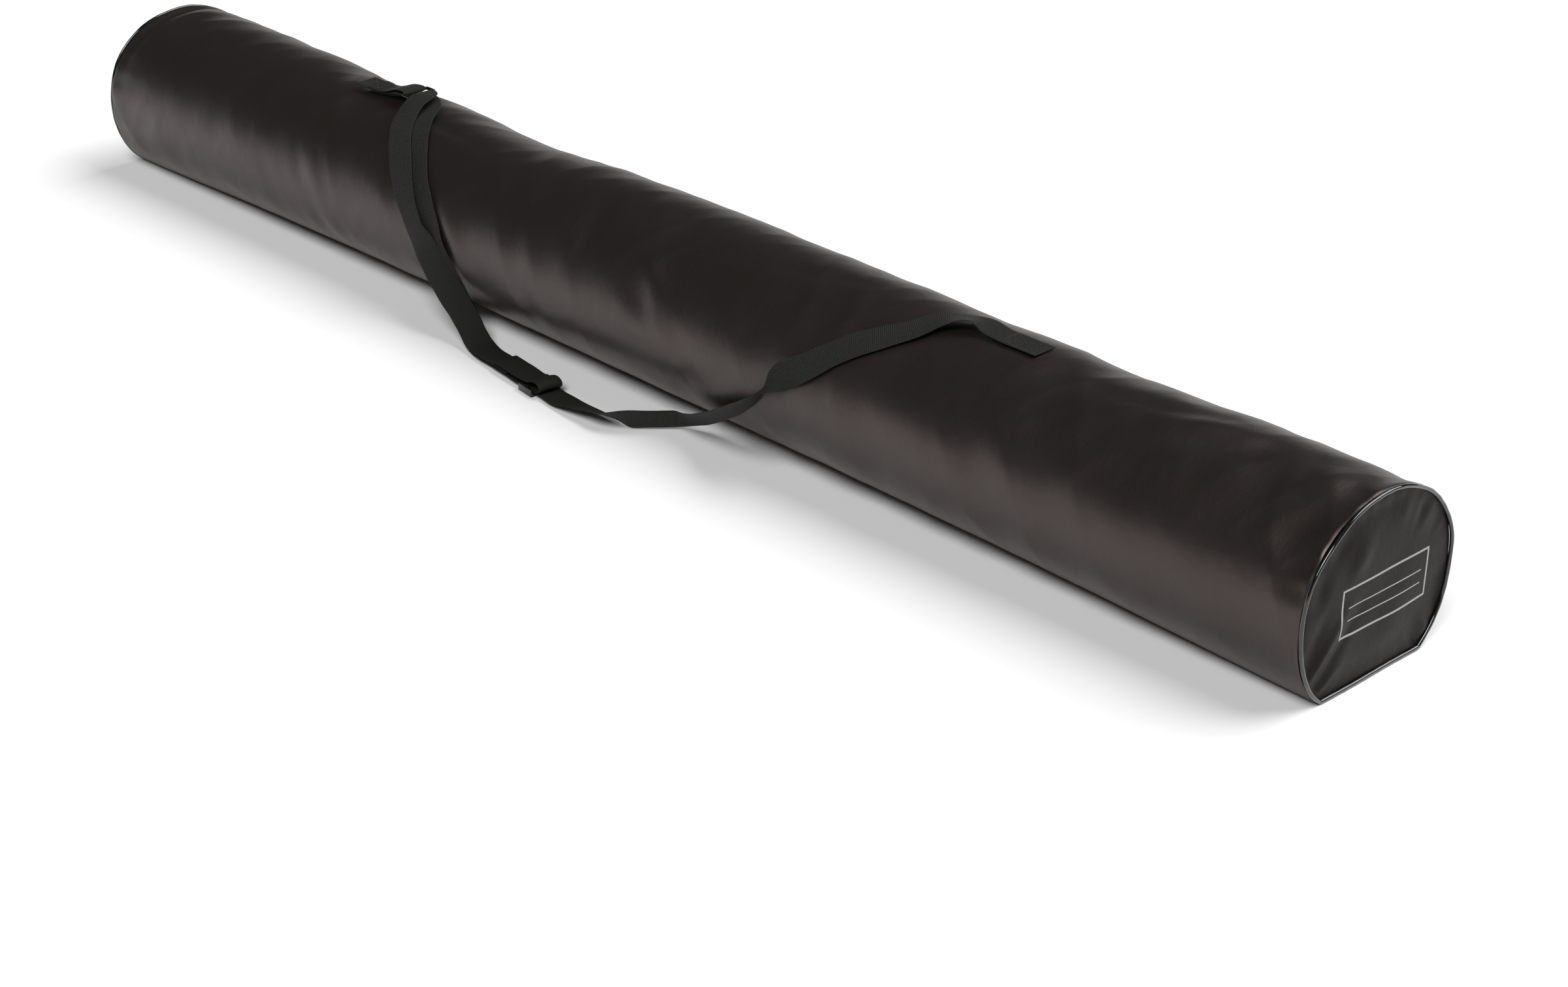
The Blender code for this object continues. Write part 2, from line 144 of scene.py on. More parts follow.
TURNS = np.linspace(-math.pi, math.pi, 721)
ROUND = np.stack(section(np.zeros(721), TURNS), -1)
ARC = distances(ROUND)
ARC -= ARC[360]
GIRTH = ARC[-1] - ARC[0]


def arc_at(turn):
    """Distance round the tube from its top."""
    return np.interp(turn, TURNS, ARC)


def turn_at(arc):
    return np.interp(arc, ARC, TURNS)


# ---------------------------------------------------------------- meshes


def linked(name, data):
    """A new object in the scene."""
    made = bpy.data.objects.new(name, data)
    bpy.context.scene.collection.objects.link(made)
    return made


def mesh_from(name, points, faces, uvs=None):
    """An object from points and faces. uvs has one pair, in metres, for each face's corners."""
    mesh = bpy.data.meshes.new(name)
    points, faces = np.asarray(points).reshape(-1, 3), np.asarray(faces)
    mesh.from_pydata(points.tolist(), [], faces.tolist())
    if uvs is not None:
        layer = mesh.uv_layers.new(name="metres")
        layer.data.foreach_set("uv", np.asarray(uvs, np.float32).ravel())
    mesh.shade_smooth()
    return linked(name, mesh)


def grid(name, points, uv, closed=False, keep=None):
    """A sheet from rows of points. keep picks its faces.

    A closed one joins its last column to its first, and its uv has one column more.
    """
    rows, columns = points.shape[:2]
    across = columns if closed else columns - 1
    i, j = np.meshgrid(np.arange(rows - 1), np.arange(across), indexing="ij")
    if keep is not None:
        i, j = i[keep], j[keep]
    i, j = i.ravel(), j.ravel()
    k = (j + 1) % columns
    row, after = i * columns, (i + 1) * columns
    faces = np.stack([row + j, after + j, after + k, row + k], -1)
    corners = np.stack([uv[i, j], uv[i + 1, j], uv[i + 1, j + 1], uv[i, j + 1]], 1)
    return mesh_from(name, points, faces, corners)


def frames_along(path, start):
    """Directions across a path that turn as little as they can."""
    side = np.array(start, float)
    sides = []
    for tangent in (tangents := unit(np.gradient(path, axis=0))):
        side = side - tangent * side.dot(tangent)
        side /= np.linalg.norm(side)
        sides.append(side.copy())
    sides = np.array(sides)
    return sides, np.cross(tangents, sides)


def tube(name, path, radius, sides, start, closed=False, flat=1.0):
    """A round bar along a path. flat squashes it along its second direction."""
    path = np.asarray(path, float)
    wrapped = np.concatenate([path[-2:], path, path[:2]]) if closed else path
    first, second = frames_along(wrapped, start)
    if closed:
        first, second = first[2:-2], second[2:-2]
    turn = np.linspace(0, 2 * math.pi, sides, endpoint=False)[None, :, None]
    ring = np.cos(turn) * first[:, None] + flat * np.sin(turn) * second[:, None]
    radius = np.broadcast_to(np.asarray(radius, float), len(path))
    points = path[:, None] + radius[:, None, None] * ring
    along = distances(path)
    if closed:
        points = np.concatenate([points, points[:1]])
        along = np.append(along, 2 * along[-1] - along[-2])
    around = np.linspace(0, 1, sides + 1) * 2 * math.pi * radius.mean()
    uv = np.stack(np.meshgrid(along, around, indexing="ij"), -1)
    made = grid(name, points, uv, True)
    return weld(made) if closed else fill_ends(made)


def edit(obj, work):
    """Runs bmesh work on an object's mesh."""
    mesh = bmesh.new()
    mesh.from_mesh(obj.data)
    work(mesh)
    mesh.to_mesh(obj.data)
    mesh.free()
    return obj


def weld(obj):
    return edit(obj, lambda m: bmesh.ops.remove_doubles(m, verts=m.verts, dist=1e-6))


def open_edges(mesh):
    return [edge for edge in mesh.edges if edge.is_boundary]


def fill_ends(obj):
    return edit(obj, lambda m: bmesh.ops.holes_fill(m, edges=open_edges(m), sides=0))


def join(name, parts):
    """One object from several."""
    whole = bmesh.new()
    for part in parts:
        part.data.transform(part.matrix_world)
        whole.from_mesh(part.data)
        bpy.data.objects.remove(part)
    mesh = bpy.data.meshes.new(name)
    whole.to_mesh(mesh)
    whole.free()
    return linked(name, mesh)


def bake(obj):
    """Applies the modifiers and turns a curve into a mesh."""
    graph = bpy.context.evaluated_depsgraph_get()
    graph.update()
    mesh = bpy.data.meshes.new_from_object(obj.evaluated_get(graph))
    made = linked(obj.name + "_mesh", mesh)
    made.matrix_world = obj.matrix_world
    name = obj.name
    bpy.data.objects.remove(obj)
    made.name = name
    return made


def thicken(obj, thickness):
    """Gives a sheet a thickness, inwards."""
    thick = obj.modifiers.new("thickness", "SOLIDIFY")
    thick.thickness = thickness
    thick.offset = -1
    return bake(obj)


def rounded_box(name, low, high, where, edge):
    """A block between two corners of a frame, with rounded edges."""
    low, high = Vector(low), Vector(high)
    made = mesh_from(name, [], [])
    edit(made, lambda m: bmesh.ops.create_cube(m, size=1.0))
    scaled = Matrix.Diagonal((*(high - low), 1))
    made.data.transform(Matrix.Translation((low + high) / 2) @ scaled)
    made.matrix_world = where
    rounding = made.modifiers.new("edges", "BEVEL")
    rounding.width = edge
    rounding.segments = 3
    return smooth(bake(made))


def plate(name, outlines, height, where, edge):
    """A flat plate from outlines, the later ones being holes, with softened edges."""
    curve = bpy.data.curves.new(name, "CURVE")
    curve.dimensions = "2D"
    curve.fill_mode = "BOTH"
    curve.extrude = height / 2 - edge
    curve.bevel_depth = edge
    curve.bevel_resolution = 2
    curve.offset = -edge
    for outline in outlines:
        line = curve.splines.new("POLY")
        line.points.add(len(outline) - 1)
        for spot, (x, y) in zip(line.points, outline):
            spot.co = (x, y, 0, 1)
        line.use_cyclic_u = True
    made = linked(name, curve)
    made.matrix_world = where
    return smooth(bake(made))


def smooth(obj):
    obj.data.shade_smooth()
    obj.data.set_sharp_from_angle(angle=math.radians(40))
    return obj


def rounded_outline(left, right, half, corner, steps=5):
    """A rounded rectangle that is symmetric about the X axis."""
    points = []
    spots = ((right - corner, half - corner, 0), (left + corner, half - corner, 90))
    spots += ((left + corner, corner - half, 180), (right - corner, corner - half, 270))
    for x, y, first in spots:
        for k in range(steps + 1):
            turn = math.radians(first + 90 * k / steps)
            points.append((x + corner * math.cos(turn), y + corner * math.sin(turn)))
    return points


# ---------------------------------------------------------------- materials


class Look:
    """A material and short calls that build its nodes."""

    def __init__(self, name, **values):
        self.material = bpy.data.materials.new(name)
        self.material.use_nodes = True
        self.tree = self.material.node_tree
        self.shader = self.tree.nodes["Principled BSDF"]
        for label, value in values.items():
            self.shader.inputs[label.replace("_", " ")].default_value = value
        self.uv = self.node("ShaderNodeUVMap").outputs[0]
        self.uv.node.uv_map = "metres"
        parts = self.node("ShaderNodeSeparateXYZ", self.uv)
        self.u, self.v = parts.outputs[0], parts.outputs[1]

    def node(self, kind, *inputs, **settings):
        made = self.tree.nodes.new(kind)
        for label, value in settings.items():
            setattr(made, label, value)
        for socket, value in zip(made.inputs, inputs):
            self.put(socket, value)
        return made

    def put(self, socket, value):
        if isinstance(value, bpy.types.NodeSocket):
            self.tree.links.new(value, socket)
        elif value is not None:
            socket.default_value = value

    def math(self, operation, *inputs):
        return self.node("ShaderNodeMath", *inputs, operation=operation).outputs[0]

    def wave(self, along, pitch, shift=0.0):
        """A sine of that pitch, from -1 to 1."""
        turns = self.math("MULTIPLY_ADD", along, 2 * math.pi / pitch, shift)
        return self.math("SINE", turns)

    def noise(self, scale, detail=2.0, vector=None, stretch=(1, 1, 1), rough=0.5):
        """Noise over the UV map, from 0 to 1. The scale is in waves per metre."""
        place = self.node("ShaderNodeMapping", vector or self.uv)
        place.inputs["Scale"].default_value = [s * scale for s in stretch]
        made = self.node("ShaderNodeTexNoise", place.outputs[0])
        made.inputs["Scale"].default_value = 1.0
        made.inputs["Detail"].default_value = detail
        made.inputs["Roughness"].default_value = rough
        return made.outputs["Fac"]

    def spread(self, value, low, high):
        """Maps 0 to 1 onto low to high."""
        return self.node("ShaderNodeMapRange", value, 0.0, 1.0, low, high).outputs[0]

    def mix(self, share, first, second, blend="MIX"):
        made = self.node("ShaderNodeMix", data_type="RGBA", blend_type=blend)
        for label, value in ((0, share), (6, first), (7, second)):
            self.put(made.inputs[label], (*value, 1) if isinstance(value, tuple) else value)
        return made.outputs[2]

    def bump(self, height, distance, strength=1.0, under=None):
        made = self.node("ShaderNodeBump")
        self.put(made.inputs["Height"], height)
        made.inputs["Distance"].default_value = distance
        made.inputs["Strength"].default_value = strength
        if under:
            self.put(made.inputs["Normal"], under)
        return made.outputs[0]

    def finish(self, color=None, rough=None, normal=None):
        for label, value in (("Base Color", color), ("Roughness", rough), ("Normal", normal)):
            if value is not None:
                self.put(self.shader.inputs[label], value)
        return self.material


def weave(look, along, across, pitch_along, pitch_across):
    """A plain weave's height, 0 to 1, and its 0 or 1 for which thread is on top."""
    ups = look.math("SINE", look.math("MULTIPLY", along, math.pi / pitch_along))
    overs = look.math("SINE", look.math("MULTIPLY", across, math.pi / pitch_across))
    both = look.math("MULTIPLY", ups, overs)
    height = look.math("POWER", look.math("ABSOLUTE", both), 0.6)
    return height, look.math("GREATER_THAN", both, 0.0)


def nylon(name, panel=False, label=False):
    """Coated oxford nylon. The end panels' is cut on the bias and less shiny, and its colour is
    darker, as painted shade, and cooler.
    """
    look = Look(name, Specular_IOR_Level=0.12 if panel else 0.72)
    look.shader.inputs["Specular Tint"].default_value = (1.0, 0.80, 0.77, 1)
    turned_uv = look.node("ShaderNodeVectorRotate", look.uv, rotation_type="Z_AXIS")
    turned_uv.inputs["Angle"].default_value = PANEL_BIAS if panel else 0.0
    parts = look.node("ShaderNodeSeparateXYZ", turned_uv.outputs[0])
    along, across = parts.outputs[0], parts.outputs[1]
    sway = look.math("MULTIPLY", look.noise(14, 2), 0.0016)
    along = look.math("ADD", along, sway)
    threads, top = weave(look, along, across, OXFORD_PITCH, OXFORD_PITCH)
    wave = look.wave(along, 0.0019 if panel else 0.0021)
    ribs = look.math("MULTIPLY", look.spread(wave, 0.0, 2.4 if panel else 1.0), 0.5)
    cloth = look.math("ADD", look.math("MULTIPLY", threads, 0.2), ribs)
    patches = look.noise(9, 4, stretch=(1, 1.4, 1))
    grain = look.noise(420, 2, stretch=(1, 0.45, 1))
    # Painted shade: the end panels' cloth is made darker, and cooler, than the wrap's.
    shade_and_tint = PANEL_SHADE_AND_TINT if panel else (1.0, 1.0, 1.0)
    warm = tuple(c * t for c, t in zip((0.0118, 0.0090, 0.0075), shade_and_tint))
    cool = tuple(c * t for c, t in zip((0.0092, 0.0078, 0.0068), shade_and_tint))
    color = look.mix(look.spread(patches, -0.6, 1.6), warm, cool)
    color = look.mix(look.spread(grain, 0.0, 0.75), color, (0.004, 0.0036, 0.0033))
    color = look.mix(look.math("MULTIPLY", top, 0.10), color, (0.022, 0.019, 0.017))
    if label:
        color = look.mix(label_mask(look, threads), color, (0.44, 0.44, 0.43))
    creases = look.noise(26, 5, stretch=(1.0, 0.6, 1), rough=0.55)
    normal = look.bump(creases, 0.004, 0.25)
    normal = look.bump(grain, 0.0002, 0.25, normal)
    normal = look.bump(cloth, 0.0002, 0.5 if panel else 0.16, normal)
    return look.finish(color, look.spread(patches, 0.34, 0.46), normal)


def label_mask(look, threads):
    """A printed blank name panel: a frame and two writing lines, broken up by the weave."""
    y = look.math("ABSOLUTE", look.math("SUBTRACT", look.u, LABEL_Y))
    z = look.math("SUBTRACT", look.v, LABEL_Z)
    across = look.math("SUBTRACT", y, LABEL_HALF_WIDTH)
    up = look.math("SUBTRACT", look.math("ABSOLUTE", z), LABEL_HALF_HEIGHT)
    edge = look.math("ABSOLUTE", look.math("MAXIMUM", across, up))
    mask = look.math("LESS_THAN", edge, 0.0011)
    inside = look.math("LESS_THAN", y, LABEL_HALF_WIDTH - 0.009)
    for height in (0.0045, -0.0085):
        gap = look.math("ABSOLUTE", look.math("SUBTRACT", z, height))
        line = look.math("MULTIPLY", look.math("LESS_THAN", gap, 0.0006), inside)
        mask = look.math("MAXIMUM", mask, line)
    return look.math("MULTIPLY", mask, look.spread(threads, 0.55, 1.0))


def webbing_cloth():
    """Coarse plain webbing: sixteen columns of thread across 30 mm, with painted shade in the gaps
    between threads.
    """
    look = Look("webbing", Specular_IOR_Level=0.22)
    sway = look.math("MULTIPLY", look.noise(90, 2), 0.0006)
    along = look.math("ADD", look.v, sway)
    threads, top = weave(look, along, look.u, 0.00205, WEB_WIDTH / 16)
    fibre = look.noise(900, 2, stretch=(1, 0.3, 1))
    dust = look.noise(40, 3)
    # Painted shade: the colour runs dark in the gaps between threads and lighter on their crowns.
    color = look.mix(threads, (0.0020, 0.0020, 0.0018), (0.0165, 0.0165, 0.0150))
    color = look.mix(look.math("MULTIPLY", top, 0.35), color, (0.026, 0.0255, 0.0235))
    color = look.mix(look.spread(dust, 0.0, 0.3), color, (0.005, 0.005, 0.005))
    normal = look.bump(fibre, 0.0002, 0.4)
    normal = look.bump(threads, 0.0007, 0.9, normal)
    return look.finish(color, look.spread(threads, 0.72, 0.5), normal)


def tape_cloth():
    """Flat woven zip tape with a herringbone, with painted shade in the troughs between its ribs.
    """
    look = Look("tape", Specular_IOR_Level=0.35)
    zig = look.math("PINGPONG", look.v, 0.002)
    ribs = look.wave(look.math("ADD", look.u, zig), 0.0011)
    height = look.spread(ribs, 0.35, 0.65)
    # Painted shade: the ribs' troughs are coloured darker than their crowns.
    color = look.mix(height, (0.008, 0.008, 0.008), (0.022, 0.021, 0.020))
    rough = look.spread(look.noise(30, 3), 0.65, 0.85)
    return look.finish(color, rough, look.bump(height, 0.0003, 0.6))


def hard(name, color, rough, grain, coat=0.0, metal=0.0):
    """A moulded, coated or painted hard material with fine grain and rubbed patches."""
    look = Look(name, Metallic=metal, Coat_Weight=coat, Coat_Roughness=0.08)
    place = look.node("ShaderNodeTexCoord").outputs["Object"]
    rubbed = look.noise(160, 4, place)
    fine = look.noise(2600, 3, place)
    base = look.mix(look.spread(rubbed, -0.3, 0.8), color, tuple(c * 1.7 + 0.004 for c in color))
    normal = look.bump(rubbed, 0.0006, grain)
    normal = look.bump(fine, 0.0001, grain, normal)
    return look.finish(base, look.spread(rubbed, rough * 0.75, rough * 1.35), normal)


def thread_look():
    look = Look("thread", Specular_IOR_Level=0.5)
    place = look.node("ShaderNodeTexCoord").outputs["Object"]
    twist = look.noise(3000, 1, place, (1, 0.2, 1))
    color = look.mix(twist, (0.007, 0.007, 0.007), (0.026, 0.025, 0.023))
    return look.finish(color, look.spread(twist, 0.35, 0.6), look.bump(twist, 0.0002, 0.6))


# ---------------------------------------------------------------- the wrap

# Soft shapes pressed into the wrap: middle (x, degrees), half sizes along and across,
# angle in degrees, height.
DENTS = (
    (-0.575, 20, 0.075, 0.075, 0, -0.0075),
    (-0.280, 22, 0.115, 0.080, 0, -0.0085),
    (-0.470, 12, 0.040, 0.030, 0, 0.0020),
    (0.440, 25, 0.060, 0.070, 0, -0.0030),
    (0.615, 20, 0.060, 0.080, 0, -0.0050),
    (0.715, 25, 0.035, 0.060, 0, -0.0028),
    (0.925, 20, 0.018, 0.060, 0, -0.0030),
    (-0.500, -22, 0.042, 0.026, 25, -0.0060),
    (-0.380, -12, 0.050, 0.014, -8, -0.0030),
    (-0.340, -20, 0.070, 0.010, -6, 0.0016),
    (-0.045, -42, 0.016, 0.045, 20, -0.0018),
    (0.065, -68, 0.030, 0.016, -35, -0.0022),
    (0.070, -50, 0.060, 0.012, -30, 0.0014),
    (0.235, -12, 0.070, 0.012, 15, -0.0020),
    (0.230, -57, 0.030, 0.030, 0, -0.0016),
    (0.680, -6, 0.070, 0.014, 12, -0.0025),
    (0.765, -4, 0.035, 0.016, 20, 0.0022),
    (0.800, -14, 0.055, 0.014, 25, -0.0030),
    (0.860, -28, 0.040, 0.024, -30, -0.0018),
    (0.905, -8, 0.030, 0.014, 55, 0.0012),
    (0.922, -31, 0.022, 0.022, 35, -0.0022),
    (0.915, -55, 0.022, 0.030, 70, -0.0012),
    (0.870, 8, 0.030, 0.022, 20, -0.0016),
    (-0.928, -5, 0.010, 0.085, 0, -0.0028),
    (-0.905, -8, 0.014, 0.080, 0, 0.0010),
    (-0.370, -40, 0.020, 0.050, 10, -0.0020),
    (-0.250, -80, 0.022, 0.050, 30, 0.0020),
    (-0.215, -88, 0.020, 0.050, 35, -0.0022),
    (-0.530, -88, 0.014, 0.050, 30, -0.0020),
    (-0.495, -92, 0.014, 0.050, 32, 0.0018),
    (-0.600, -95, 0.016, 0.045, 30, -0.0014),
    (-0.120, -96, 0.016, 0.045, 20, -0.0014),
    (0.145, -112, 0.020, 0.040, 12, -0.0020),
    (0.420, -100, 0.030, 0.050, 18, -0.0018),
    (0.560, -85, 0.022, 0.060, 26, -0.0016),
    (0.700, -72, 0.030, 0.050, -30, -0.0018),
    (0.330, 80, 0.050, 0.040, 15, -0.0030),
    (-0.420, 95, 0.060, 0.050, -18, -0.0035),
    (0.660, 100, 0.040, 0.050, 22, -0.0030),
    (-0.700, 75, 0.040, 0.050, -25, -0.0028),
    (0.020, 100, 0.060, 0.045, 12, -0.0028),
)


def soft_shape(du, dv, long, wide, degrees, height):
    """One soft oval rise or dip, turned in its surface."""
    c, s = math.cos(math.radians(degrees)), math.sin(math.radians(degrees))
    along, across = (du * c + dv * s) / long, (dv * c - du * s) / wide
    return height * np.exp(-(along**2) - across**2)


def noise_at(a, b, c):
    """Blender's smooth noise, from -1 to 1, at lists of places."""
    return np.array([noise.noise(spot) for spot in zip(a, b, c)])


def dents(x, arc):
    """Height of the soft shapes."""
    total = np.zeros_like(x)
    for middle, degrees, long, wide, angle, height in DENTS:
        from_middle = arc - float(arc_at(math.radians(degrees)))
        total += soft_shape(x - middle, from_middle, long, wide, angle, height)
    return total


def folds(x, arc):
    """Low folds and fine slackness of stitched cloth. The noise closes round the tube."""
    flat_x, flat_arc = x.ravel(), arc.ravel()
    turn = flat_arc / GIRTH * 2 * math.pi
    radius = GIRTH / (2 * math.pi)
    y, z = radius * np.cos(turn), radius * np.sin(turn)
    shape = 0.0016 * noise_at(flat_x * 5.0, y, z + 3.1)
    for lean, size, height, seed in ((0.55, 15.0, 0.0011, 11.0), (-0.5, 21.0, 0.0007, 23.0)):
        slanted = flat_x + lean * flat_arc
        ridge = noise_at(slanted * size, y * size * 0.35 + seed, z * size * 0.35)
        shape += height * (0.5 - 2 * np.abs(ridge))
    return shape.reshape(x.shape)


def puckers(x, arc):
    """Short gathers where the wrap is sewn to the end panels."""
    total = np.zeros_like(x)
    for side, seed in ((1, 1.7), (-1, 8.3)):
        near = np.exp(-((np.maximum(0, SEAM_X - side * x) / 0.032) ** 1.3))
        wave = np.sin(arc * 2 * math.pi / 0.031 + 1.3 * np.sin(arc * 23 + seed) + seed)
        loud = 0.5 + 0.5 * np.sin(arc * 13.0 + seed * 2)
        total += 0.0006 * near * wave * loud
    return total


def wrap_height(x, arc):
    """How far the cloth stands off the smooth surface: lower by the floor, zip, strap and seams."""
    height = dents(x, arc) + folds(x, arc) + puckers(x, arc)
    from_zip = np.abs(arc - float(arc_at(ZIP_TURN)))
    height *= 1 - 0.9 * np.exp(-((from_zip / 0.020) ** 4))
    height += 0.0006 * np.exp(-(((from_zip - 0.0125) / 0.0022) ** 2))
    _, z = section(x, turn_at(arc))
    height *= np.clip(z / 0.030, 0, 1) ** 1.5
    strap = strap_shelter(x, arc)
    pressed = np.minimum(height, height * (1 - strap) + 0.0004 * strap)
    height = np.where(strap > 0, pressed, height)
    rolled = np.clip((np.abs(x) - (SEAM_X - 0.0058)) / 0.0036, 0, 1)
    return height * (1 - rolled) - 0.0024 * rolled**2


# The strap's route over the cloth: x and degrees.
STRAP_TRACK = (
    (-0.545, 0), (-0.435, 0), (-0.400, -22), (-0.365, -46), (-0.325, -64), (-0.270, -88),
    (-0.235, -105), (0.250, -98), (0.300, -75), (0.350, -52), (0.410, -26), (0.445, 0),
    (0.545, 0),
)  # fmt: skip


def strap_shelter(x, arc):
    """1 under the strap, where the cloth lies flat, fading to 0 beside it."""
    line = [np.array((at, float(arc_at(math.radians(turn))))) for at, turn in STRAP_TRACK]
    nearest = np.full(x.shape, 1.0)
    for a, b in zip(line[:-1], line[1:]):
        step = b - a
        t = np.clip(((x - a[0]) * step[0] + (arc - a[1]) * step[1]) / step.dot(step), 0, 1)
        gap = np.hypot(x - a[0] - t * step[0], arc - a[1] - t * step[1])
        nearest = np.minimum(nearest, gap)
    return np.clip((0.030 - nearest) / 0.012, 0, 1)


def wrap():
    """The long wrap, with its slot for the zip and a hem folded under along the slot."""
    edge = SEAM_X - PIPING_RADIUS - 0.0003
    middle = np.linspace(-0.90, 0.90, 470)
    end = 0.90 + (edge - 0.90) * np.linspace(0, 1, 21)[1:] ** 0.8
    stations = np.concatenate([-end[::-1], middle, end])
    at_slot = np.abs(np.abs(stations) - SLOT_HALF) < 0.002
    stations[at_slot] = np.sign(stations[at_slot]) * SLOT_HALF
    half_slot, columns, in_slot = 0.007, 172, 4
    zip_arc = float(arc_at(ZIP_TURN))
    past_zip = zip_arc + GIRTH
    cloth_arcs = np.linspace(zip_arc + half_slot, past_zip - half_slot, columns)
    slot_arcs = np.linspace(past_zip - half_slot, past_zip + half_slot, in_slot + 1)
    arcs = np.concatenate([cloth_arcs, slot_arcs[1:-1]])
    x, arc = np.meshgrid(stations, np.where(arcs > GIRTH / 2, arcs - GIRTH, arcs), indexing="ij")
    points, _ = surface(x, turn_at(arc), wrap_height(x, arc))
    points[..., 2] = np.maximum(points[..., 2], 0.0002)
    unrolled = np.append(arcs, past_zip + half_slot)
    uv = np.stack(np.meshgrid(stations, unrolled, indexing="ij"), -1)
    between = np.abs(stations[1:] + stations[:-1]) / 2
    keep = np.ones((len(stations) - 1, len(arcs)), bool)
    keep[np.ix_(between < SLOT_HALF, np.arange(len(arcs)) >= columns - 1)] = False
    made = grid("wrap", points, uv, True, keep)
    return edit(made, fold_hem)


def lining(name, x_from, x_to, arc_from, arc_to, columns, closed=False):
    """A strip of cloth inside the wrap that follows its shape."""
    stations = np.linspace(x_from, x_to, 14)
    around = np.linspace(arc_from, arc_to, columns + 1)
    x, arc = np.meshgrid(stations, around[:-1] if closed else around, indexing="ij")
    points, _ = surface(x, turn_at(arc), wrap_height(x, arc) - 0.0018)
    uv = np.stack(np.meshgrid(stations, around, indexing="ij"), -1)
    return thicken(grid(name, points, uv, closed), 0.0006)


def fold_hem(mesh):
    """Turns the slot's edge down and back under the cloth."""
    out = outward(0, ZIP_TURN)
    around = out.cross(X)
    middle = skin_point(0, ZIP_TURN)
    reach = SLOT_HALF + 0.002
    edges = [e for e in open_edges(mesh) if all(abs(v.co.x) < reach for v in e.verts)]
    for down, back in ((0.0007, -0.0004), (0.0007, 0.0008), (0.0001, 0.0040)):
        made = bmesh.ops.extrude_edge_only(mesh, edges=edges)["geom"]
        edges = [g for g in made if isinstance(g, bmesh.types.BMEdge)]
        for spot in (g for g in made if isinstance(g, bmesh.types.BMVert)):
            side = math.copysign(1.0, (spot.co - middle).dot(around))
            spot.co += side * back * around - down * out


# ---------------------------------------------------------------- end panels and piping

# Creases of an end panel: middle (y, z), half sizes along and across, angle in degrees,
# height.
PANEL_CREASES = (
    (-0.030, 0.132, 0.020, 0.012, 62, 0.0022),
    (-0.058, 0.150, 0.018, 0.010, 40, -0.0020),
    (-0.084, 0.118, 0.016, 0.010, 80, -0.0018),
    (-0.078, 0.046, 0.040, 0.0060, 48, 0.0026),
    (-0.060, 0.042, 0.040, 0.0070, 48, -0.0016),
    (-0.086, 0.066, 0.026, 0.008, 62, -0.0018),
    (-0.070, 0.018, 0.020, 0.0050, 30, 0.0016),
    (0.056, 0.150, 0.014, 0.0055, 62, -0.0010),
    (0.068, 0.144, 0.016, 0.0050, 52, 0.0007),
    (0.082, 0.130, 0.014, 0.0060, 44, -0.0010),
    (0.030, 0.160, 0.016, 0.0080, 75, 0.0006),
    (0.080, 0.020, 0.018, 0.0060, 130, 0.0020),
    (0.064, 0.014, 0.018, 0.0060, 125, -0.0014),
    (0.095, 0.060, 0.020, 0.010, 95, -0.0012),
    (0.000, 0.020, 0.050, 0.012, 4, -0.0010),
    (-0.010, 0.170, 0.045, 0.009, 0, -0.0012),
)


def end_panel(name, side):
    """A slack disc of cloth whose edge dives in beside the piping."""
    rings, columns = 56, 168
    turns = np.linspace(-math.pi, math.pi, columns, endpoint=False)
    rim, _ = surface(side * SEAM_X, turns, -0.0049 * np.ones(columns))
    centre = np.array((side * SEAM_X, 0.0, WIDEST))
    radius = np.linspace(0.02, 1, rings) ** 0.8
    points = centre + radius[:, None, None] * (rim - centre)
    y, z = points[..., 1], points[..., 2]
    from_rim = 1 - radius[:, None]
    height = 0.0024 * (1 - radius[:, None] ** 3) * np.ones_like(y)
    for middle_y, middle_z, long, wide, angle, tall in PANEL_CREASES:
        height += soft_shape(side * y - middle_y, z - middle_z, long, wide, angle, tall)
    slack = noise_at(y.ravel() * 18, z.ravel() * 18, np.full(y.size, side * 4.0))
    height += 0.0014 * slack.reshape(y.shape)
    edge_arc = arc_at(turns)[None, :]
    gather = np.sin(edge_arc * 2 * math.pi / 0.024 + 1.6 * np.sin(edge_arc * 19) + side)
    height += 0.0004 * gather * np.exp(-(from_rim / 0.10))
    height *= np.clip(from_rim / 0.045, 0, 1) ** 0.7
    points[..., 0] += side * (height - 0.0012)
    uv = np.stack([side * y, z], -1)
    uv = np.concatenate([uv, uv[:, :1]], 1)
    if side < 0:
        points, uv = points[:, ::-1], uv[:, ::-1]
    return close_centre(grid(name, points, uv, True), Vector(centre))


def close_centre(obj, centre):
    """Closes the small hole in the middle of a disc."""
    side = math.copysign(1, centre.x)

    def work(mesh):
        layer = mesh.loops.layers.uv.active
        rim = [e for e in open_edges(mesh) if (e.verts[0].co - centre).length < 0.03]
        for face in bmesh.ops.holes_fill(mesh, edges=rim, sides=0)["faces"]:
            face.smooth = True
            for loop in face.loops:
                loop[layer].uv = (side * loop.vert.co.y, loop.vert.co.z)

    return edit(obj, work)


def piping(name, side):
    """A glossy cord round the end seam, with the faint lumps of a sewn-in filler."""
    turns = turn_at(np.linspace(-GIRTH / 2, GIRTH / 2, 400, endpoint=False))
    arc = arc_at(turns)
    sway = 0.0004 * np.sin(arc * 41 + side) + 0.0003 * np.sin(arc * 97)
    path, _ = surface(side * SEAM_X, turns, -PIPING_DEPTH + sway)
    path[:, 2] = np.maximum(path[:, 2], PIPING_RADIUS + 0.0001)
    path[:, 0] += side * 0.0003 * np.sin(arc * 57)
    radius = CORD_RADIUS * (1 + 0.04 * np.sin(arc * 300 + 2 * np.sin(arc * 61)))
    return tube(name, path, radius, 14, (1, 0, 0), closed=True)


# ---------------------------------------------------------------- webbing


def curve_through(before, start, stop, after, t):
    """Catmull-Rom between start and stop."""
    bend = 2 * before - 5 * start + 4 * stop - after
    twist = 3 * start - before - 3 * stop + after
    return start + 0.5 * t * ((stop - before) + t * (bend + t * twist))


